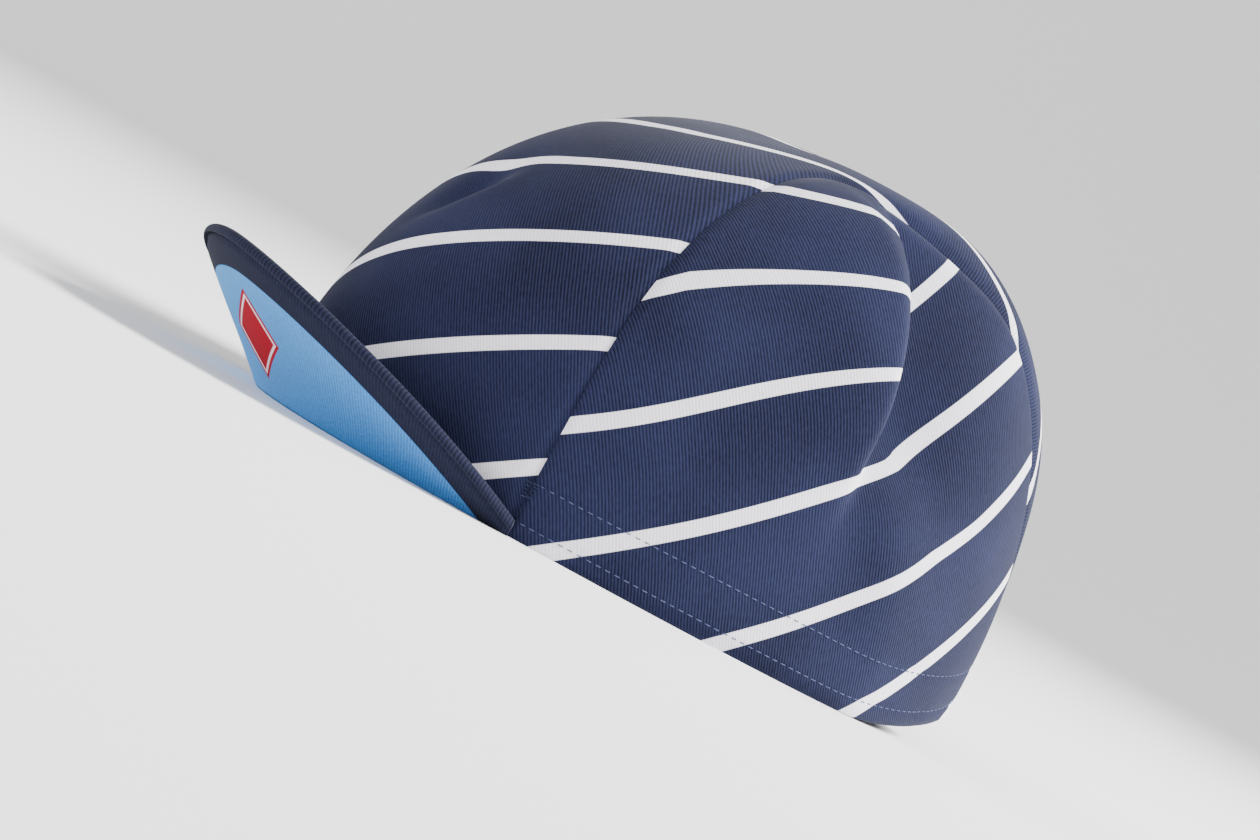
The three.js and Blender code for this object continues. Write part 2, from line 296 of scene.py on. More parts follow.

# The peak's rolled edge, the sunk edge and the ripples of its under side, and what is printed there, with
# painted light across its sky field.
PEAK_HALF_WALL = COVER_GAP / 2 + COVER_WALL
ROLL_FLAT_SHARE = 0.15
UNDER_SUNK = 0.75 * MM
UNDER_ROLL = 1.1 * MM
UNDER_RIPPLE = 0.12 * MM
UNDER_RIPPLE_ROUND = 9
UNDER_RIPPLE_OUT = 0.16 / MM
NAVY_EDGE = 8.3 * MM
PRINT_BLUR = 0.2 * MM
GRAIN_SHARE = 0.5
SKY_TEXTURE_SHARE = 0.55
SKY_PAINTED_LIGHT_SPAN = 60 * MM
SKY_PAINTED_LIGHT_SHARE = 0.5
BADGE_HALF_WIDTH = 9 * MM
BADGE_HALF_HEIGHT = 12 * MM
BADGE_OUT = 17.8 * MM
BADGE_BLUR = 0.02
BADGE_LINE = 0.84
BADGE_LINE_RANGE = (0.03, 0.06)

# Points that lie this close are joined, and a length below TINY counts as none.
JOIN_WITHIN = 0.001 * MM
TINY = 1e-12


def origin():
    """The middle of the rim in the row frame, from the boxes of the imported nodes."""
    peak_low, peak_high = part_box("peak_upper_cover")
    centre_low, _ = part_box("crown_panel_centre")
    return np.array([(peak_low.x + peak_high.x) / 2, centre_low.y + RIM_HALF_LENGTH, 0.0])


ORIGIN = origin()


# The shape of the cap.


def rim_points(turn):
    back = -np.cos(turn)
    lifted = np.maximum(0, (back - FLAT_SHARE) / (1 - FLAT_SHARE))
    x = RIM_HALF_WIDTH * np.sin(turn) * (1 + RIM_EGG * back)
    return np.stack([x, RIM_HALF_LENGTH * back, REAR_LIFT * lifted**2], -1)


def directions(across, pitch):
    x = np.sin(across) + 0 * pitch
    return np.stack([x, np.cos(across) * np.sin(pitch), np.cos(across) * np.cos(pitch)], -1)


def fullness(turn):
    ends = np.where(np.cos(turn) > 0, FRONT_FULLNESS, REAR_FULLNESS)
    return SIDE_FULLNESS * np.sin(turn) ** 2 + ends * np.cos(turn) ** 2


def crease_place(dirs, crease):
    """How far directions lie along a crease from its middle, beside it towards the back, and the middle."""
    across, pitch, turn = crease.across * DEG, crease.pitch * DEG, crease.turn * DEG
    middle = directions(np.array(across), np.array(pitch))
    sideways = directions(np.array(across + 90 * DEG), np.array(pitch))
    backwards = np.cross(middle, sideways)
    offset = dirs - middle
    length = offset @ (backwards * math.cos(turn) + sideways * math.sin(turn))
    beside = offset @ (backwards * math.sin(turn) - sideways * math.cos(turn)) - crease.bow * length**2
    return length, beside, middle


def crease_sink(dirs, crease):
    length, beside, middle = crease_place(dirs, crease)
    reach = np.where(beside < 0, crease.before, crease.after)
    facing = np.maximum(0, dirs @ middle)
    fade = np.exp(-(np.abs(length / crease.along) ** crease.ends) - (beside / reach) ** 2)
    return crease.depth * CROWN_HEIGHT * facing * fade


def pleat_sink(turn, height, pleat):
    from_rear = np.where(turn > 0, turn - math.pi, turn + math.pi) / DEG
    fade = np.exp(-((height / (pleat.reach * CROWN_HEIGHT)) ** 2))
    return pleat.depth * BAND_HEIGHT * fade * np.exp(-(((from_rear + pleat.at) / pleat.width) ** 2))


def crown_points(dirs, depth, creased=True):
    """Points of the crown in these directions, at a depth below the outer face."""
    turn = np.arctan2(dirs[..., 0], -dirs[..., 1])
    power = 2 / fullness(turn)
    up = np.clip(dirs[..., 2], 0, 1)
    out = np.maximum(0, 1 - up * up) ** (power / 2)
    rim = rim_points(turn)
    height = (CROWN_HEIGHT - rim[..., 2]) * up**power
    points = rim * out[..., None]
    points[..., 1] += TOP_SETBACK * (1 - out)
    points[..., 2] = rim[..., 2] + height
    inwards = dirs / np.array([RIM_HALF_WIDTH, RIM_HALF_LENGTH, CROWN_HEIGHT])
    inwards /= np.linalg.norm(inwards, axis=-1, keepdims=True)
    sink = depth + 0 * height
    if creased:
        sink = sink + sum(crease_sink(dirs, crease) for crease in CREASES)
        sink = sink + sum(pleat_sink(turn, height, pleat) for pleat in PLEATS)
    return ORIGIN + points - inwards * sink[..., None]


def wall_points(turn, height, depth):
    """The same, by the angle round the rim and the height above it."""
    rise = height / (CROWN_HEIGHT - rim_points(turn)[..., 2])
    up = rise ** (fullness(turn) / 2)
    out = np.sqrt(1 - up * up)
    return crown_points(np.stack([np.sin(turn) * out, -np.cos(turn) * out, up], -1), depth)


def seam_across(pitch):
    """The seam's angle from the middle plane, at an angle from front to back."""

    def eased(steepness):
        return np.hypot(steepness, WAIST_EASE) - WAIST_EASE

    waist = WAIST_PITCH_DEG * DEG
    is_front = pitch < waist
    end = np.where(is_front, -90, 90) * DEG
    end_across = np.where(is_front, SEAM_FRONT_DEG, SEAM_REAR_DEG)
    curve = np.where(is_front, SEAM_FRONT_CURVE, SEAM_REAR_CURVE)
    share = eased(np.sin((pitch - waist) / (end - waist) * 90 * DEG)) / eased(1)
    return (SEAM_WAIST_DEG + (end_across - SEAM_WAIST_DEG) * share**curve) * DEG


HALF_GAP = SEAM_SPLIT / 2 / RIM_HALF_WIDTH


def side_directions(side):
    """A grid of directions over a side panel: from front to back, and from the rim up to the seam."""
    share = np.linspace(0, 1, SIDE_STEPS[0] + 1)[:, None]
    pitch = (share - 0.5) * math.pi
    front, back = SEAM_FRONT_DEG * DEG + HALF_GAP, (180 - SEAM_REAR_DEG) * DEG - HALF_GAP
    turn = front + (back - front) * share
    low = np.stack([np.sin(turn), -np.cos(turn), 0 * turn], -1)
    high = directions(seam_across(pitch) + HALF_GAP, pitch)
    t = np.linspace(0, 1, SIDE_STEPS[1] + 1)[None, :, None]
    dirs = low + (high - low) * t
    dirs /= np.linalg.norm(dirs, axis=-1, keepdims=True)
    dirs[..., 0] *= side
    return dirs


def centre_directions():
    pitch = np.linspace(-90, 90, CENTRE_STEPS[0] + 1)[:, None] * DEG
    share = np.linspace(-1, 1, CENTRE_STEPS[1] + 1)[None, :]
    return directions(share * (seam_across(pitch) - HALF_GAP), pitch)


def run(points, axis):
    """How far along the surface each point lies from the start of its row."""
    steps = np.linalg.norm(np.diff(points, axis=axis), axis=-1)
    start = np.zeros_like(np.take(steps, [0], axis=axis))
    return np.concatenate([start, np.cumsum(steps, axis=axis)], axis=axis)


def dips(from_seam, from_rim):
    """How far the outer face sinks at a turned seam edge and at the rows of stitches."""
    depth = SEAM_DIP * np.exp(-((from_seam / SEAM_ROLL) ** 2))
    for row in STITCH_ROWS:
        depth = depth + STITCH_GROOVE * np.exp(-(((from_rim - row) / GROOVE_HALF_WIDTH) ** 2))
    return depth


# Meshes.


def add_mesh(name, points, faces, materials, indices=None, attributes=None):
    """One smooth mesh. Points that fall together are joined, and faces that close up are left out."""
    points = np.asarray(points).reshape(-1, 3)
    _, first, place = np.unique(
        np.round(points / JOIN_WITHIN), axis=0, return_index=True, return_inverse=True
    )
    place = place.ravel()
    kept, kept_indices = [], []
    for number, face in enumerate(faces):
        corners = [int(place[k]) for k in face]
        corners = [c for i, c in enumerate(corners) if c != corners[i - 1]]
        if len(set(corners)) > 2:
            kept.append(corners)
            kept_indices.append(0 if indices is None else int(indices[number]))
    mesh = bpy.data.meshes.new(name)
    mesh.from_pydata(points[first].tolist(), [], kept)
    mesh.polygons.foreach_set("use_smooth", [True] * len(kept))
    for material in materials:
        mesh.materials.append(material)
    mesh.polygons.foreach_set("material_index", kept_indices)
    for label, values in (attributes or {}).items():
        layer = mesh.attributes.new(label, "FLOAT_VECTOR", "POINT")
        layer.data.foreach_set("vector", np.asarray(values).reshape(-1, 3)[first].ravel())
    mesh.update()
    piece = bpy.data.objects.new(name, mesh)
    bpy.context.scene.collection.objects.link(piece)
    return piece


def grid_faces(at, flipped=False):
    """Quads over a grid of point numbers."""
    quads = np.stack([at[:-1, :-1], at[1:, :-1], at[1:, 1:], at[:-1, 1:]], -1).reshape(-1, 4)
    return quads[:, ::-1] if flipped else quads


def rounded_middle(outer, inner, outer_next, inner_next):
    """A line half way between two edges, pushed out a little, so that a cut edge looks turned."""
    middle = (outer + inner) / 2
    away = middle - (outer_next + inner_next) / 2
    length = np.maximum(np.linalg.norm(away, axis=-1, keepdims=True), TINY)
    thickness = np.linalg.norm(outer - inner, axis=-1, keepdims=True)
    middle = middle + away / length * thickness * EDGE_ROUNDNESS
    middle[..., 2] = np.maximum(middle[..., 2], 0)
    return middle


def shell(name, outer, inner, materials, cloth, mirrored=False, facing=None, lining=None, rim_edges=()):
    """A cloth wall between two grids. facing and lining number their materials, also on the rim's edges."""
    start = rounded_middle(outer[:, 0], inner[:, 0], outer[:, 1], inner[:, 1])
    end = rounded_middle(outer[:, -1], inner[:, -1], outer[:, -2], inner[:, -2])
    first = rounded_middle(outer[0], inner[0], outer[1], inner[1])
    last = rounded_middle(outer[-1], inner[-1], outer[-2], inner[-2])
    first[0], first[-1], last[0], last[-1] = start[0], end[0], start[-1], end[-1]
    parts = [outer, inner, start, end, first, last]
    labels = [cloth, cloth, cloth[:, 0], cloth[:, -1], cloth[0], cloth[-1]]
    numbers, count = [], 0
    for part in parts:
        size = part.size // 3
        numbers.append(np.arange(count, count + size).reshape(part.shape[:-1]))
        count += size
    out, into, at_start, at_end, at_first, at_last = numbers
    edges = [
        np.stack([into[:, 0], at_start, out[:, 0]], 1),
        np.stack([out[:, -1], at_end, into[:, -1]], 1),
        np.stack([into[0], at_first, out[0]], 0),
        np.stack([out[-1], at_last, into[-1]], 0),
    ]
    faces = [grid_faces(out), grid_faces(into, True)] + [grid_faces(edge) for edge in edges]
    indices = [np.zeros(len(part)) for part in faces]
    if lining is not None:
        indices[0] = facing[:-1, :-1].ravel()
        indices[1] = lining[:-1, :-1].ravel()
        border = {
            "start": (2, np.repeat(lining[:-1, 0], 2)),
            "first": (4, np.tile(lining[0, :-1], 2)),
            "last": (5, np.tile(lining[-1, :-1], 2)),
        }
        for edge in rim_edges:
            place, values = border[edge]
            indices[place] = values
    faces = np.concatenate(faces)
    if mirrored:
        faces = faces[:, ::-1]
    points = np.concatenate([p.reshape(-1, 3) for p in parts])
    values = np.concatenate([v.reshape(-1, 3) for v in labels])
    return add_mesh(name, points, faces, materials, np.concatenate(indices), {"cloth": values})


def frames(path, away):
    """Sideways and outward unit vectors along a path."""
    tangent = np.gradient(path, axis=0)
    tangent /= np.maximum(np.linalg.norm(tangent, axis=1, keepdims=True), TINY)
    side = np.cross(tangent, away)
    side /= np.maximum(np.linalg.norm(side, axis=1, keepdims=True), TINY)
    return side, np.cross(side, tangent)


def threads(name, paths, radius, material):
    """Round threads along paths of points, each with its outward directions, closed at both ends."""
    points, faces, count = [], [], 0
    angles = np.linspace(0, 2 * math.pi, THREAD_SIDES, endpoint=False)[None, :, None]
    for path, away in paths:
        side, out = frames(path, away)
        radii = np.full(len(path), radius)
        radii[[0, -1]] *= THREAD_TAPER
        turned = np.cos(angles) * side[:, None] + np.sin(angles) * out[:, None]
        ring = path[:, None] + radii[:, None, None] * turned
        points.append(ring.reshape(-1, 3))
        at = np.arange(count, count + len(path) * THREAD_SIDES).reshape(len(path), THREAD_SIDES)
        closed = np.concatenate([at, at[:, :1]], 1)
        faces += grid_faces(closed, True).tolist()
        faces += [at[0].tolist(), at[-1][::-1].tolist()]
        count += ring.size // 3
    return add_mesh(name, np.concatenate(points), faces, [material])


def dashes(path, away, length, space, radius):
    """Stitches along a path: each dives into the cloth at both ends."""
    place = run(path[None], 1)[0]
    starts = np.arange(space, place[-1] - length, length + space)
    made = []
    for begin in starts:
        at = begin + length * STITCH_PLACES
        depth = radius * STITCH_HEIGHTS[:, None]
        spot = np.stack([np.interp(at, place, path[:, k]) for k in range(3)], 1)
        normal = np.stack([np.interp(at, place, away[:, k]) for k in range(3)], 1)
        normal /= np.linalg.norm(normal, axis=1, keepdims=True)
        made.append((spot + normal * depth, normal))
    return made


def grid_normals(grid):
    """Unit normals of a grid of points, outwards where rows run back and columns run up."""
    normal = np.cross(np.gradient(grid, axis=0), np.gradient(grid, axis=1))
    return normal / np.maximum(np.linalg.norm(normal, axis=-1, keepdims=True), TINY)


# Materials.

GLOSS = 0.06
SHEEN_ROUGHNESS = 0.5


class Nodes:
    """Builds one procedural material round a Principled shader."""

    def __init__(self, name, roughness, sheen=0.0):
        self.material = bpy.data.materials.new(name)
        self.material.use_nodes = True
        self.tree = self.material.node_tree
        self.shader = self.tree.nodes["Principled BSDF"]
        self.shader.inputs["Roughness"].default_value = roughness
        self.shader.inputs["Specular IOR Level"].default_value = GLOSS
        self.shader.inputs["Sheen Weight"].default_value = sheen
        self.shader.inputs["Sheen Roughness"].default_value = SHEEN_ROUGHNESS
        where = self.tree.nodes.new("ShaderNodeTexCoord")
        self.place = where.outputs["Object"]

    def put(self, socket, value):
        """Gives a socket a value, or joins another node's output to it."""
        if isinstance(value, bpy.types.NodeSocket):
            self.tree.links.new(value, socket)
        else:
            socket.default_value = value

    def cloth(self):
        """The piece's own coordinates on the cloth."""
        source = self.tree.nodes.new("ShaderNodeAttribute")
        source.attribute_name = "cloth"
        split = self.tree.nodes.new("ShaderNodeSeparateXYZ")
        self.put(split.inputs[0], source.outputs["Vector"])
        return split.outputs[0], split.outputs[1], split.outputs[2]

    def math(self, operation, *values):
        node = self.tree.nodes.new("ShaderNodeMath")
        node.operation = operation
        for socket, value in zip(node.inputs, values):
            self.put(socket, value)
        return node.outputs[0]

    def noise(self, scale, detail=2, vector=None):
        """Smooth noise, with scale counted per metre unless it is given coordinates of its own."""
        node = self.tree.nodes.new("ShaderNodeTexNoise")
        self.put(node.inputs["Vector"], vector or self.place)
        self.put(node.inputs["Scale"], scale)
        self.put(node.inputs["Detail"], detail)
        return node.outputs["Fac"]

    def vector(self, x, y):
        node = self.tree.nodes.new("ShaderNodeCombineXYZ")
        self.put(node.inputs["X"], x)
        self.put(node.inputs["Y"], y)
        return node.outputs[0]

    def fit(self, value, limits, to_low=0.0, to_high=1.0):
        """value between two limits, eased and held to the range from to_low to to_high."""
        node = self.tree.nodes.new("ShaderNodeMapRange")
        node.interpolation_type = "SMOOTHSTEP"
        for socket, number in zip(node.inputs, (value, *limits, to_low, to_high)):
            self.put(socket, number)
        return node.outputs[0]

    def mix(self, share, first, second):
        """A colour between two, which a mix node takes at its inputs 6 and 7."""
        node = self.tree.nodes.new("ShaderNodeMix")
        node.data_type = "RGBA"
        self.put(node.inputs[0], share)
        self.put(node.inputs[6], first)
        self.put(node.inputs[7], second)
        return node.outputs[2]

    def sine(self, value, pitch):
        """A sine wave that repeats every pitch."""
        return self.math("SINE", self.math("MULTIPLY", value, 2 * math.pi / pitch))

    def wave(self, value, pitch):
        """A smooth wave from 0 to 1 that repeats every pitch."""
        return self.math("MULTIPLY_ADD", self.sine(value, pitch), 0.5, 0.5)

    def scaled(self, value, factor):
        return self.math("MULTIPLY", value, factor)

    def added(self, *values):
        total = values[0]
        for value in values[1:]:
            total = self.math("ADD", total, value)
        return total

    def apart(self, value, middle):
        """How far a value is from the middle, whichever side it lies."""
        return self.math("ABSOLUTE", self.math("SUBTRACT", value, middle))

    def from_stripe(self, phase, half_width):
        """How far a place is from the nearest stripe's edge, counted in stripes and negative inside it."""
        offset = self.math("SUBTRACT", self.math("FRACT", self.math("ADD", phase, 0.5)), 0.5)
        return self.math("SUBTRACT", self.math("ABSOLUTE", offset), half_width)

    def bump(self, height, distance, strength):
        node = self.tree.nodes.new("ShaderNodeBump")
        self.put(node.inputs["Height"], height)
        self.put(node.inputs["Distance"], distance)
        self.put(node.inputs["Strength"], strength)
        self.put(self.shader.inputs["Normal"], node.outputs[0])

    def finish(self, colour):
        self.put(self.shader.inputs["Base Color"], colour)
        return self.material


def srgb(red, green, blue):
    """A colour given as it looks on a screen, from 0 to 255."""
    values = [v / 255 for v in (red, green, blue)]
    return tuple(v / 12.92 if v <= 0.04045 else ((v + 0.055) / 1.055) ** 2.4 for v in values) + (1.0,)


NAVY_DARK = srgb(3, 4, 11)
NAVY_LIGHT = srgb(40, 44, 74)
STRIPE_DARK = srgb(206, 203, 214)
STRIPE_LIGHT = srgb(242, 240, 246)
REVERSE_DARK = srgb(58, 57, 64)
REVERSE_LIGHT = srgb(220, 219, 228)
ALLOWANCE_DARK = srgb(92, 91, 98)
ALLOWANCE_LIGHT = srgb(186, 185, 192)
RIBBON_DARK = srgb(8, 9, 19)
RIBBON_LIGHT = srgb(62, 69, 100)
SKY_DARK = srgb(16, 70, 142)
SKY_LIGHT = srgb(106, 184, 244)
BORDER_DARK = srgb(10, 11, 22)
BORDER_LIGHT = srgb(36, 39, 60)
BADGE_RED = srgb(158, 8, 32)
BADGE_WHITE = srgb(238, 216, 220)
THREAD_BLUE = srgb(96, 105, 138)
THREAD_PALE = srgb(244, 244, 247)
THREAD_NAVY = srgb(16, 19, 36)


def ribbed(nodes, along, across):
    """The twill's ribs, broken up by the yarn, from 0 to 1."""
    sway = nodes.scaled(nodes.noise(90, 1), RIB_SWAY * RIB_PITCH)
    rib = nodes.wave(nodes.added(along, sway), RIB_PITCH)
    yarn_along = nodes.scaled(along, YARN_ALONG / RIB_PITCH)
    yarn_across = nodes.scaled(across, YARN_ACROSS / RIB_PITCH)
    yarn = nodes.noise(1, vector=nodes.vector(yarn_along, yarn_across))
    return nodes.added(nodes.scaled(rib, RIB_SHARE), nodes.scaled(yarn, YARN_SHARE))


def striped_twill():
    """The printed face: pale stripes on navy, over fine ribs."""
    nodes = Nodes("navy_twill", roughness=0.9, sheen=0.06)
    along, phase, half_width = nodes.cloth()
    texture = ribbed(nodes, along, nodes.scaled(phase, PRINT_REPEAT))
    from_stripe = nodes.from_stripe(phase, half_width)
    stripe = nodes.fit(from_stripe, (-STRIPE_BLUR, STRIPE_BLUR), to_low=1.0, to_high=0.0)
    patches = nodes.fit(nodes.noise(28, 3), (0.3, 0.7), to_low=-PATCH_DEPTH, to_high=PATCH_DEPTH)
    tone = nodes.added(texture, patches)
    navy = nodes.mix(tone, NAVY_DARK, NAVY_LIGHT)
    pale = nodes.mix(tone, STRIPE_DARK, STRIPE_LIGHT)
    nodes.bump(texture, TWILL_RELIEF, TWILL_BUMP)
    return nodes.finish(nodes.mix(stripe, navy, pale))


def cloth_reverse(name, dark, light):
    """The unprinted back: grey twill, with the stripes showing faintly through."""
    nodes = Nodes(name, roughness=0.92, sheen=0.05)
    along, phase, half_width = nodes.cloth()
    across = nodes.scaled(phase, PRINT_REPEAT)
    slant = nodes.added(along, nodes.scaled(across, BACK_LINE_SLANT))
    counter_slant = nodes.math("SUBTRACT", across, nodes.scaled(along, BACK_CROSS_SLANT))
    line = nodes.scaled(nodes.wave(slant, BACK_LINE_PITCH), BACK_LINE_SHARE)
    cross = nodes.scaled(nodes.wave(counter_slant, BACK_CROSS_PITCH), BACK_CROSS_SHARE)
    fibre = nodes.scaled(nodes.noise(900), BACK_FIBRE_SHARE)
    texture = nodes.added(line, cross, fibre)
    from_stripe = nodes.from_stripe(phase, half_width)
    through = nodes.fit(from_stripe, BACK_STRIPE_RANGE, to_low=BACK_STRIPE_SHARE, to_high=0.0)
    nodes.bump(texture, TWILL_RELIEF, TWILL_BUMP)
    tone = nodes.added(nodes.scaled(texture, BACK_TEXTURE_SHARE), through)
    return nodes.finish(nodes.mix(tone, dark, light))


def ribbon():
    """Dark basket-woven ribbon, finer along both edges beyond a thin sunk line darkened with painted shade,
    with a painted highlight along its upper lip.
    """
    nodes = Nodes("ribbon", roughness=0.85, sheen=0.05)
    along, across, share = nodes.cloth()
    crossed = nodes.math("MULTIPLY", nodes.sine(along, WEAVE_PITCH), nodes.sine(across, WEAVE_PITCH))
    weave = nodes.fit(crossed, WEAVE_RANGE)
    from_middle = nodes.apart(share, 0.5)
    selvedge = nodes.fit(from_middle, SELVEDGE_RANGE, to_low=1.0, to_high=SELVEDGE_SHARE)
    # Painted shade: the texture is darkened along a thin sunk line near each edge.
    line = nodes.fit(nodes.apart(from_middle, SUNK_LINE), SUNK_LINE_RANGE, to_low=SUNK_LINE_PAINTED_SHADE)
    # Painted highlight: the texture is lighter along the upper lip.
    lip = nodes.fit(share, LIP_HIGHLIGHT_RANGE, to_high=LIP_HIGHLIGHT_SHARE)
    fibre = nodes.scaled(nodes.noise(1100), RIBBON_FIBRE_SHARE)
    woven = nodes.scaled(nodes.math("MULTIPLY", weave, selvedge), WEAVE_SHARE)
    texture = nodes.math("MULTIPLY", nodes.added(woven, fibre, lip), line)
    nodes.bump(texture, WEAVE_RELIEF, WEAVE_BUMP)
    return nodes.finish(nodes.mix(texture, RIBBON_DARK, RIBBON_LIGHT))


def plain_twill(name, dark, light):
    nodes = Nodes(name, roughness=0.9, sheen=0.04)
    along, across, _ = nodes.cloth()
    texture = ribbed(nodes, along, across)
    nodes.bump(texture, TWILL_RELIEF, TWILL_BUMP)
    return nodes.finish(nodes.mix(texture, dark, light))


def thread(name, colour, darker):
    nodes = Nodes(name, roughness=0.8, sheen=0.05)
    twist = nodes.noise(2500)
    nodes.bump(twist, THREAD_RELIEF, THREAD_BUMP)
    return nodes.finish(nodes.mix(twist, darker, colour))


# The crown.


def stripe_labels(stripes, side, up, moved=0):
    """Cloth coordinates: along the stripes, across them counted in stripes, and half a stripe's width."""
    along = stripes.along_side * side + stripes.along_up * up
    phase = (up - stripes.slope * side + moved - stripes.anchor) / stripes.repeat
    half_width = STRIPE_WIDTH / 2 * np.sqrt(1 + stripes.slope**2) / stripes.repeat
    return np.stack([along, phase, half_width + 0 * phase], -1)


def left_labels(dirs, back, height):
    """Stripes of the left panel, set off behind the fold. None is drawn in the fold's upper turn."""
    length, beside, _ = crease_place(dirs, LEFT_FOLD)
    bent = BEND * np.maximum(back - BEND_LINE, 0) * np.maximum(height - BEND_HEIGHT, 0) ** 2
    near = np.exp(-((beside / DRAWN_REACH) ** 4)) * np.clip((DRAWN_END - length) / DRAWN_EASE, 0, 1)
    drawn = np.minimum(DRAWN_SHARE * (DRAWN_HEIGHT - height), DRAWN_MOST) * near
    drawn = drawn - REAR_BEND * np.maximum(back, 0) * height
    width = TURN_WIDTH + TURN_SPREAD * np.clip((length - SPREAD_START) / SPREAD_EASE, 0, 1)
    behind = np.clip((beside + TURN_START) / width, 0, 1)
    labels = stripe_labels(LEFT_STRIPES, back, height, bent * (1 - behind) + drawn * behind)
    hidden = (behind > 0) & (behind < 1) & (length < HIDDEN_END)
    labels[..., 2] -= hidden * NO_STRIPE
    return labels


# Numbers of the crown's materials, in the order in which build() lists them.
PRINTED, REVERSE, SKY_COTTON = range(3)


def faces_shown(dirs, from_rim):
    """Numbers of the materials outside and inside, where the hem is turned up and the peak is sewn on."""
    turn = np.arctan2(dirs[..., 0], -dirs[..., 1])
    by_peak = np.abs(turn) < ROOT_STRIP_SHARE * PEAK_HALF_SPAN_DEG * DEG
    facing = np.where(by_peak & (from_rim < ROOT_STRIP), SKY_COTTON, PRINTED)
    lining = np.where(from_rim > HEM_TURN, REVERSE, np.where(by_peak, SKY_COTTON, PRINTED))
    return facing, lining


def side_panel(name, side, node, materials):
    dirs = side_directions(side)
    smooth = crown_points(dirs, 0.0, False)
    height = run(smooth, 1)
    from_seam = height[:, -1:] - height
    back = smooth[..., 1] - ORIGIN[1]
    depth = dips(from_seam, height)
    outer = crown_points(dirs, depth)
    inner = crown_points(dirs, np.full(depth.shape, CROWN_WALL))
    cloth = left_labels(dirs, back, height) if side > 0 else stripe_labels(RIGHT_STRIPES, back, height)
    shown = faces_shown(dirs, height)
    piece = shell(name, outer, inner, materials, cloth, side < 0, *shown, ["start"])
    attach(piece, "root")
    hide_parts(node)
    return outer, height, side


def past_the_top(back):
    """Lengths over the centre panel, drawn straight across the columns that meet the top."""
    middle, reach = CENTRE_STEPS[1] // 2, TOP_COLUMNS
    start, end = back[:, middle - reach], back[:, middle + reach]
    back[:, middle - reach : middle + reach + 1] = np.linspace(start, end, 2 * reach + 1, axis=1)
    return back


def centre_panel(materials):
    dirs = centre_directions()
    smooth = crown_points(dirs, 0.0, False)
    left = run(smooth, 1)
    left = left - left[:, CENTRE_STEPS[1] // 2][:, None]
    back = past_the_top(run(smooth, 0))
    from_seam = np.abs(left[:, -1:]) - np.abs(left)
    from_rim = np.minimum(back, back[-1:] - back)
    depth = dips(from_seam, from_rim)
    outer = crown_points(dirs, depth)
    inner = crown_points(dirs, np.full(depth.shape, CROWN_WALL))
    cloth = stripe_labels(CENTRE_STRIPES, left, back)
    shown = faces_shown(dirs, from_rim)
    piece = shell("crown_centre_cloth", outer, inner, materials, cloth, True, *shown, ["first", "last"])
    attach(piece, "root")
    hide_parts("crown_panel_centre")
    return outer, from_rim


def contour(grid, level, value):
    """The line over a grid where level reaches value, one point for each row that has it."""
    normals = grid_normals(grid)
    line, away = [], []
    for row, heights, outs in zip(grid, level, normals):
        if heights.max() > value and heights[0] < value:
            k = int(np.argmax(heights > value))
            share = (value - heights[k - 1]) / (heights[k] - heights[k - 1])
            line.append(row[k - 1] + (row[k] - row[k - 1]) * share)
            away.append(outs[k])
    return np.array(line), np.array(away)


def bar_of_stitches(side):
    """A short bar of zigzag stitches over the front end of a seam."""
    points = []
    for number in range(BAR_STITCHES):
        pitch = seam_pitch_at(BAR_HEIGHT + number * BAR_STEP, -90 * DEG)
        sideways = (number % 2 - 0.5) * BAR_WIDTH / RIM_HALF_WIDTH
        dirs = directions(seam_across(pitch) + sideways, pitch) * [side, 1, 1]
        points.append(crown_points(dirs, BAR_SUNK))
    path = np.array(points)
    away = path - ORIGIN
    return path, away / np.linalg.norm(away, axis=1, keepdims=True)


def hem_stitches(side_grids, centre_grid):
    """Two rows of topstitching round the rim, up to the peak, and the bars at the ends of the seams."""
    core = ORIGIN + [0, 0, CROWN_HEIGHT / 3]
    made = [bar_of_stitches(1), bar_of_stitches(-1)]
    for row in STITCH_ROWS:
        for outer, height, side in side_grids:
            line, away = contour(outer, height, row)
            made += dashes(line, away * side, STITCH_LENGTH, STITCH_SPACE, STITCH_RADIUS)
        outer, from_rim = centre_grid
        rear = slice(None, CENTRE_STEPS[0] // 2, -1)
        line, away = contour(outer[rear].transpose(1, 0, 2), from_rim[rear].T, row)
        outwards = away * np.sign(((line - core) * away).sum(1))[:, None]
        made += dashes(line, outwards, STITCH_LENGTH, STITCH_SPACE, STITCH_RADIUS)
    piece = threads("hem_stitches", made, STITCH_RADIUS, thread("thread_blue", THREAD_BLUE, NAVY_LIGHT))
    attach(piece, "root")


# Inside the rim.


def band_piece(name, node, turns, gap, steps, material, stand_of=None, bulge_of=None):
    """The ribbon. stand_of is how far its upper edge stands off, bulge_of how it is gathered."""
    share = np.linspace(0, 1, steps + 1)[None, :]
    turn = turns[:, None] + 0 * share
    height = HEM_HEIGHT + BAND_HEIGHT * share + 0 * turn
    stand = stand_of(turn) * share**2 if stand_of else 0
    bulge = RIBBON_PUFF + (bulge_of(turn) if bulge_of else 0)
    outer = wall_points(turn, height, CROWN_WALL + gap + stand)
    inner = wall_points(turn, height, CROWN_WALL + gap + BAND_WALL + stand + bulge * np.sin(math.pi * share))
    cloth = np.stack([run(inner, 0), height, share + 0 * turn], -1)
    piece = shell(name, outer, inner, [material, material], cloth)
    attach(piece, "root")
    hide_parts(node)


def casing_stand(turn):
    """The casing's upper edge stands off the crown in slow waves, least at its ends."""
    from_rear = (turn - math.pi) / DEG
    ripple = CASING_RIPPLE * np.sin(from_rear * CASING_RIPPLE_RATE + CASING_RIPPLE_START)
    return (CASING_STAND + ripple) * np.exp(-((from_rear / CASING_STAND_SPAN_DEG) ** 4))


def casing_bulge(turn):
    """The elastic gathers the casing into a row of soft folds."""
    from_rear = (turn - math.pi) / DEG
    fold = np.cos((from_rear - GATHER_START_DEG) / GATHER_PITCH_DEG * 2 * math.pi)
    return GATHER_DEPTH * np.maximum(0, fold) * np.exp(-((from_rear / GATHER_SPAN_DEG) ** 6))


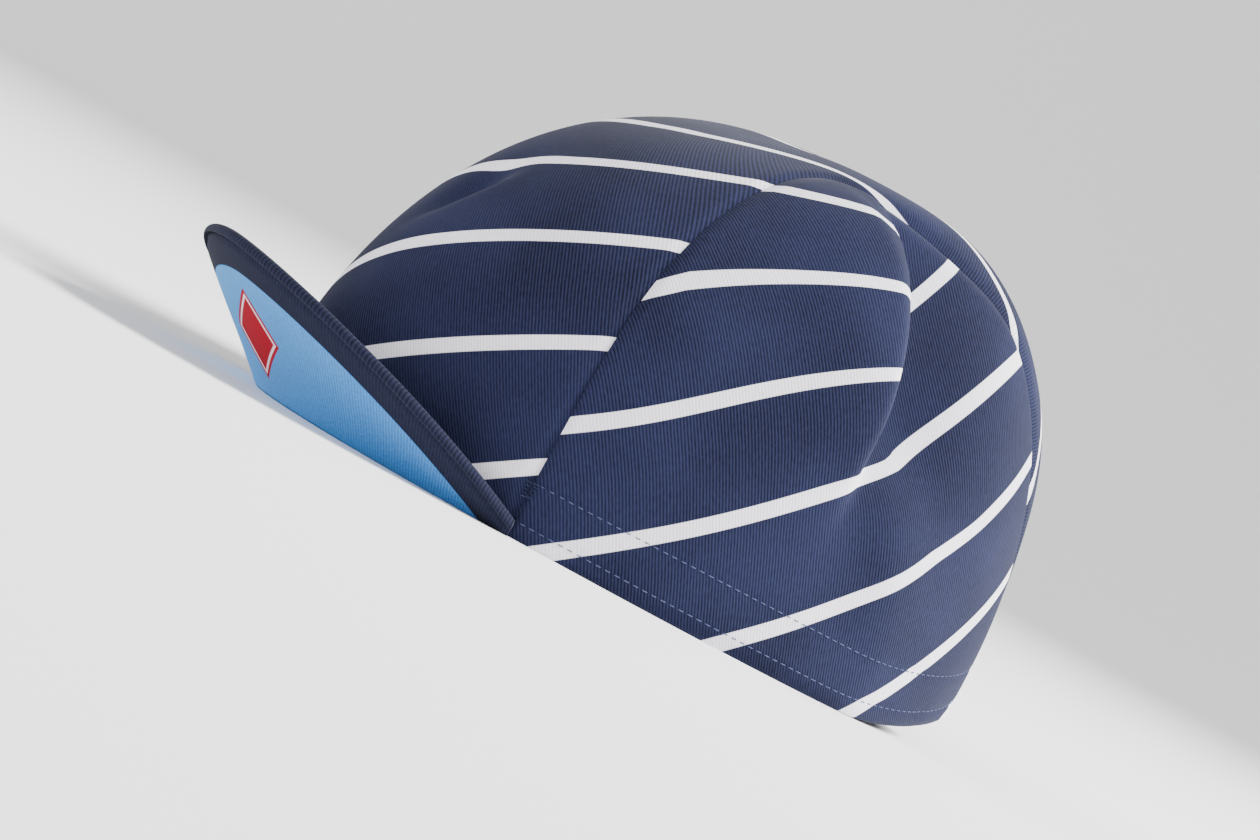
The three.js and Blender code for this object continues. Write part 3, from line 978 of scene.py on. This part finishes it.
def ribbon_pieces():
    material = ribbon()
    start = (180 - CASING_HALF_SPAN_DEG) * DEG
    end = start - CASING_JOIN_GAP / RIM_HALF_WIDTH
    turns = np.linspace(-end, end, BAND_STEPS[0])
    band_piece("sweatband_ribbon", "sweatband", turns, LAYER_GAP, BAND_STEPS[1], material)
    turns = np.linspace(start, 2 * math.pi - start, CASING_STEPS[0])
    band_piece("elastic_ribbon", "elastic_casing", turns, CASING_GAP, CASING_STEPS[1], material,
               casing_stand, casing_bulge)


def seam_pitch_at(height, end):
    """The angle from front to back where the seam reaches a height above the rim."""
    pitches = np.linspace(end, 0, SEAM_SEARCH_POINTS)
    dirs = directions(seam_across(pitches), pitches)
    above = crown_points(dirs, 0.0, False)[:, 2] - rim_points(np.arctan2(dirs[:, 0], -dirs[:, 1]))[:, 2]
    return pitches[np.argmax(above > height)]


def allowance(side, node, cloth_material, pale, navy):
    """The seam's allowances, bound with pale overlock thread along their free edge."""
    foot = HEM_HEIGHT + BAND_HEIGHT + ALLOWANCE_FOOT_GAP
    ends = [seam_pitch_at(foot, -90 * DEG), seam_pitch_at(foot, 90 * DEG)]
    pitch = np.linspace(*ends, ALLOWANCE_POINTS[0])[:, None]
    share = np.linspace(1, 0, ALLOWANCE_POINTS[1])[None, :]
    across = seam_across(pitch) + HALF_GAP + ALLOWANCE_WIDTH / RIM_HALF_WIDTH * share
    dirs = directions(across, pitch)
    dirs[..., 0] *= side
    depth = CROWN_WALL + ALLOWANCE_GAP
    outer = crown_points(dirs, depth)
    inner = crown_points(dirs, depth + ALLOWANCE_WALL)
    along = run(inner, 0)
    cloth = np.stack([along, run(inner, 1), 0 * along], -1)
    word = "left" if side > 0 else "right"
    strip = shell(f"seam_allowance_cloth_{word}", outer, inner, [cloth_material] * 2, cloth, side < 0)
    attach(strip, "root")
    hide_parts(node)
    away = -grid_normals(inner) * side
    edge, root = inner[:, 0], inner[:, -2]
    place = run(edge[None], 1)[0]
    spots = np.arange(0, place[-1], OVERLOCK_PITCH)

    def at(line, where):
        return np.stack([np.interp(where, place, line[:, k]) for k in range(3)], 1)

    weight = (np.arange(len(spots)) % 2)[:, None]
    zigzag = at(edge, spots) * (1 - weight) + at(root, spots) * weight
    outwards = at(away[:, ALLOWANCE_POINTS[1] // 2], spots)
    zigzag_path = (zigzag + outwards * OVERLOCK_LIFT, outwards)
    chain_path = (edge + away[:, 0] * CHAIN_LIFT, away[:, 0])
    piece = threads(f"overlock_{word}", [zigzag_path, chain_path], OVERLOCK_RADIUS, pale)
    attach(piece, "root")
    needle = dashes(inner[:, -1], away[:, -1], NEEDLE_LENGTH, NEEDLE_SPACE, NEEDLE_RADIUS)
    piece = threads(f"seam_stitches_{word}", needle, NEEDLE_RADIUS, navy)
    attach(piece, "root")


# The peak.


def peak_frame(turn):
    """The root, and the directions out along the peak and towards its under side."""
    rise = PEAK_RISE_DEG * DEG
    outwards = np.stack([np.sin(turn), -np.cos(turn), 0 * turn], -1)
    up = np.array([0.0, 0.0, 1.0])
    along = outwards * math.cos(rise) + up * math.sin(rise)
    under = outwards * math.sin(rise) - up * math.cos(rise)
    root = outwards * (PEAK_CLEARANCE + PEAK_HALF_WALL * math.sin(rise))
    root = root + up * PEAK_HALF_WALL * math.cos(rise)
    return ORIGIN + rim_points(turn) + root, along, under


def peak_length(turn):
    return PEAK_LENGTH * (1 - np.abs(turn / (PEAK_HALF_SPAN_DEG * DEG)) ** PEAK_TAPER)


def swept(name, outline_at, material):
    """A closed section swept along the front of the rim."""
    limit = PEAK_TIP_SHARE * PEAK_HALF_SPAN_DEG * DEG
    turn = limit * np.sin(np.linspace(-90, 90, 2 * PEAK_STEPS + 1) * DEG)
    length = peak_length(turn)
    root, along, under = peak_frame(turn)
    out, below = outline_at(length[:, None], turn[:, None])
    points = root[:, None] + along[:, None] * out[..., None] + under[:, None] * below[..., None]
    side = run(points[:, :1], 0) + 0 * out
    cloth = np.stack([side - side[PEAK_STEPS : PEAK_STEPS + 1], out, length[:, None] - out], -1)
    rows, columns = out.shape
    at = np.arange(rows * columns).reshape(rows, columns)
    closed = np.concatenate([at, at[:, :1]], 1)
    faces = grid_faces(closed).tolist() + [at[0][::-1].tolist(), at[-1].tolist()]
    return add_mesh(name, points, faces, [material], attributes={"cloth": cloth})


def peak_upper(material):
    roll = COVER_WALL + COVER_GAP
    flat = np.linspace(0, 1, PEAK_FLAT_POINTS)[None, :]
    arc = np.linspace(90, -90, PEAK_ROLL_POINTS)[None, :] * DEG

    def outline(length, _):
        lower_out = length * flat
        lip_out = length + roll * (ROLL_FLAT_SHARE + (1 - ROLL_FLAT_SHARE) * np.cos(arc))
        lip_below = PEAK_HALF_WALL * np.sin(arc) + 0 * length
        upper_out = length * flat[:, ::-1]
        out = np.concatenate([lower_out, lip_out, upper_out], 1)
        level = 0 * lower_out
        below = np.concatenate([level - COVER_GAP / 2, lip_below, level - PEAK_HALF_WALL], 1)
        return out, below

    piece = swept("peak_upper_cloth", outline, material)
    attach(piece, "root")
    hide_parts("peak_upper_cover")


def peak_under(material):
    flat = np.linspace(0, 1, UNDER_POINTS)[None, :]

    def outline(length, turn):
        reach = length - COVER_GAP
        out = reach * flat
        sunk = UNDER_SUNK * np.exp(-(((reach - out) / UNDER_ROLL) ** 2))
        ripple = np.sin(turn * UNDER_RIPPLE_ROUND + out * UNDER_RIPPLE_OUT) * np.sin(math.pi * flat)
        below = PEAK_HALF_WALL - sunk + UNDER_RIPPLE * ripple
        back_out = reach * flat[:, ::-UNDER_BACK_SKIP]
        back_below = 0 * back_out + COVER_GAP / 2
        return np.concatenate([out, back_out], 1), np.concatenate([below, back_below], 1)

    piece = swept("peak_under_cloth", outline, material)
    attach(piece, "root")
    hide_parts("peak_under_cover")


def printed_under():
    """The peak's under side: a sky blue field inside a navy edge, with a plain lozenge on it. The field has
    painted light, lighter towards one end of the peak and darker towards the other.
    """
    nodes = Nodes("printed_cotton", roughness=0.88, sheen=0.03)
    side, out, from_edge = nodes.cloth()
    ribs = nodes.scaled(ribbed(nodes, side, out), 1 - GRAIN_SHARE)
    texture = nodes.added(ribs, nodes.scaled(nodes.noise(1500), GRAIN_SHARE))
    # Painted light: the sky field is lighter towards one end of the peak and darker towards the other.
    painted_light = nodes.fit(side, (-SKY_PAINTED_LIGHT_SPAN, SKY_PAINTED_LIGHT_SPAN), to_low=1.0, to_high=0.0)
    tone = nodes.added(nodes.scaled(texture, SKY_TEXTURE_SHARE), nodes.scaled(painted_light, SKY_PAINTED_LIGHT_SHARE))
    sky = nodes.mix(tone, SKY_DARK, SKY_LIGHT)
    border = nodes.mix(texture, BORDER_DARK, BORDER_LIGHT)
    field = nodes.fit(from_edge, (NAVY_EDGE - PRINT_BLUR, NAVY_EDGE + PRINT_BLUR))
    wide = nodes.math("DIVIDE", nodes.math("ABSOLUTE", side), BADGE_HALF_WIDTH)
    tall = nodes.math("DIVIDE", nodes.apart(out, BADGE_OUT), BADGE_HALF_HEIGHT)
    spread = nodes.added(wide, tall)
    badge = nodes.fit(spread, (1 - BADGE_BLUR, 1 + BADGE_BLUR), to_low=1.0, to_high=0.0)
    line = nodes.fit(nodes.apart(spread, BADGE_LINE), BADGE_LINE_RANGE, to_low=1.0, to_high=0.0)
    lozenge = nodes.mix(line, BADGE_RED, BADGE_WHITE)
    nodes.bump(texture, TWILL_RELIEF, TWILL_BUMP)
    printed = nodes.mix(badge, sky, lozenge)
    return nodes.finish(nodes.mix(field, border, printed))


# The stage.


FLOOR_FLAT = 3.0
FLOOR_FLAT_RINGS = 7
FLOOR_BEND = 2.0
FLOOR_BEND_TURNS = np.linspace(0.1, 1.57, 12)
FLOOR_SPOKES = 97
FLOOR_COLOUR = (0.9, 0.9, 0.91, 1.0)

WORLD_COLOUR = (1.0, 1.0, 1.0, 1.0)
WORLD_STRENGTH = 0.68

# Lamps, with their power in watts.
Light = namedtuple("Light", "name place size power")
LIGHTS = (
    Light("key_light", place=(1.0, 1.6, 1.6), size=1.2, power=245),
    Light("fill_light", place=(-0.5, -2.2, 0.8), size=2.0, power=52),
)


def floor():
    """A pale floor that curves up far away, so that no edge shows."""
    flat = np.linspace(0, FLOOR_FLAT, FLOOR_FLAT_RINGS)
    radius = np.concatenate([flat, FLOOR_FLAT + FLOOR_BEND * np.sin(FLOOR_BEND_TURNS)])[:, None]
    height = np.concatenate([0 * flat, FLOOR_BEND * (1 - np.cos(FLOOR_BEND_TURNS))])[:, None]
    around = np.linspace(0, 2 * math.pi, FLOOR_SPOKES)
    points = np.stack([radius * np.cos(around), radius * np.sin(around), height + 0 * around], -1)
    material = Nodes("pale_floor", roughness=0.9).finish(FLOOR_COLOUR)
    at = np.arange(points.size // 3).reshape(points.shape[:2])
    add_mesh("floor", points, grid_faces(at), [material])


def light(lamp):
    """A round lamp that faces the middle of the floor."""
    data = bpy.data.lights.new(lamp.name, "AREA")
    data.shape = "DISK"
    data.size = lamp.size
    data.energy = lamp.power
    piece = bpy.data.objects.new(lamp.name, data)
    piece.location = lamp.place
    piece.rotation_mode = "QUATERNION"
    piece.rotation_quaternion = (-Vector(lamp.place)).to_track_quat("-Z", "Y")
    bpy.context.scene.collection.objects.link(piece)


def sky():
    """Even white light from all round."""
    world = bpy.data.worlds.new("studio")
    world.use_nodes = True
    background = world.node_tree.nodes["Background"]
    background.inputs["Color"].default_value = WORLD_COLOUR
    background.inputs["Strength"].default_value = WORLD_STRENGTH
    bpy.context.scene.world = world


CAMERA_AZIMUTH_DEG = 54.8
CAMERA_ELEVATION_DEG = 3.0
CAMERA_ROLL_DEG = -29.2
CAMERA_DISTANCE = 1.04
CAMERA_LENS = 120.0
CAMERA_SENSOR = 36.0
CAMERA_FAR = 30.0
AIM_RIGHT = 8.8 * MM
AIM_UP = 35.6 * MM


def camera():
    """Looks from the photograph's side of the cap and with its roll, from low above the floor."""
    azimuth = CAMERA_AZIMUTH_DEG * DEG
    elevation = CAMERA_ELEVATION_DEG * DEG
    roll = CAMERA_ROLL_DEG * DEG
    back = Vector((
        math.sin(azimuth) * math.cos(elevation),
        -math.cos(azimuth) * math.cos(elevation),
        math.sin(elevation),
    ))
    level = Vector((math.cos(azimuth), math.sin(azimuth), 0))
    upright = back.cross(level)
    right = level * math.cos(roll) - upright * math.sin(roll)
    up = level * math.sin(roll) + upright * math.cos(roll)
    middle = Vector(ORIGIN)
    place = middle + back * CAMERA_DISTANCE
    aim = middle + right * AIM_RIGHT + up * AIM_UP
    back = (place - aim).normalized()
    right = (up.cross(back)).normalized()
    up = back.cross(right)
    data = bpy.data.cameras.new("camera")
    data.lens = CAMERA_LENS
    data.sensor_width = CAMERA_SENSOR
    data.clip_end = CAMERA_FAR
    view = bpy.data.objects.new("camera", data)
    turned = Matrix((right, up, back)).transposed().to_4x4()
    turned.translation = place
    view.matrix_world = turned
    bpy.context.scene.collection.objects.link(view)
    bpy.context.scene.camera = view


def build():
    inside = cloth_reverse("cloth_reverse", REVERSE_DARK, REVERSE_LIGHT)
    sky_cotton = plain_twill("sky_cotton", SKY_DARK, SKY_LIGHT)
    materials = [striped_twill(), inside, sky_cotton]
    left = side_panel("crown_left_cloth", 1, "crown_panel_left", materials)
    right = side_panel("crown_right_cloth", -1, "crown_panel_right", materials)
    centre = centre_panel(materials)
    hem_stitches([left, right], centre)
    ribbon_pieces()
    bound = cloth_reverse("overlocked_cotton", ALLOWANCE_DARK, ALLOWANCE_LIGHT)
    pale = thread("thread_pale", THREAD_PALE, REVERSE_LIGHT)
    navy = thread("thread_navy", THREAD_NAVY, NAVY_DARK)
    allowance(1, "seam_allowance_left", bound, pale, navy)
    allowance(-1, "seam_allowance_right", bound, pale, navy)
    peak_upper(plain_twill("peak_twill", BORDER_DARK, BORDER_LIGHT))
    peak_under(printed_under())


camera()
build()
floor()
sky()
for lamp in LIGHTS:
    light(lamp)
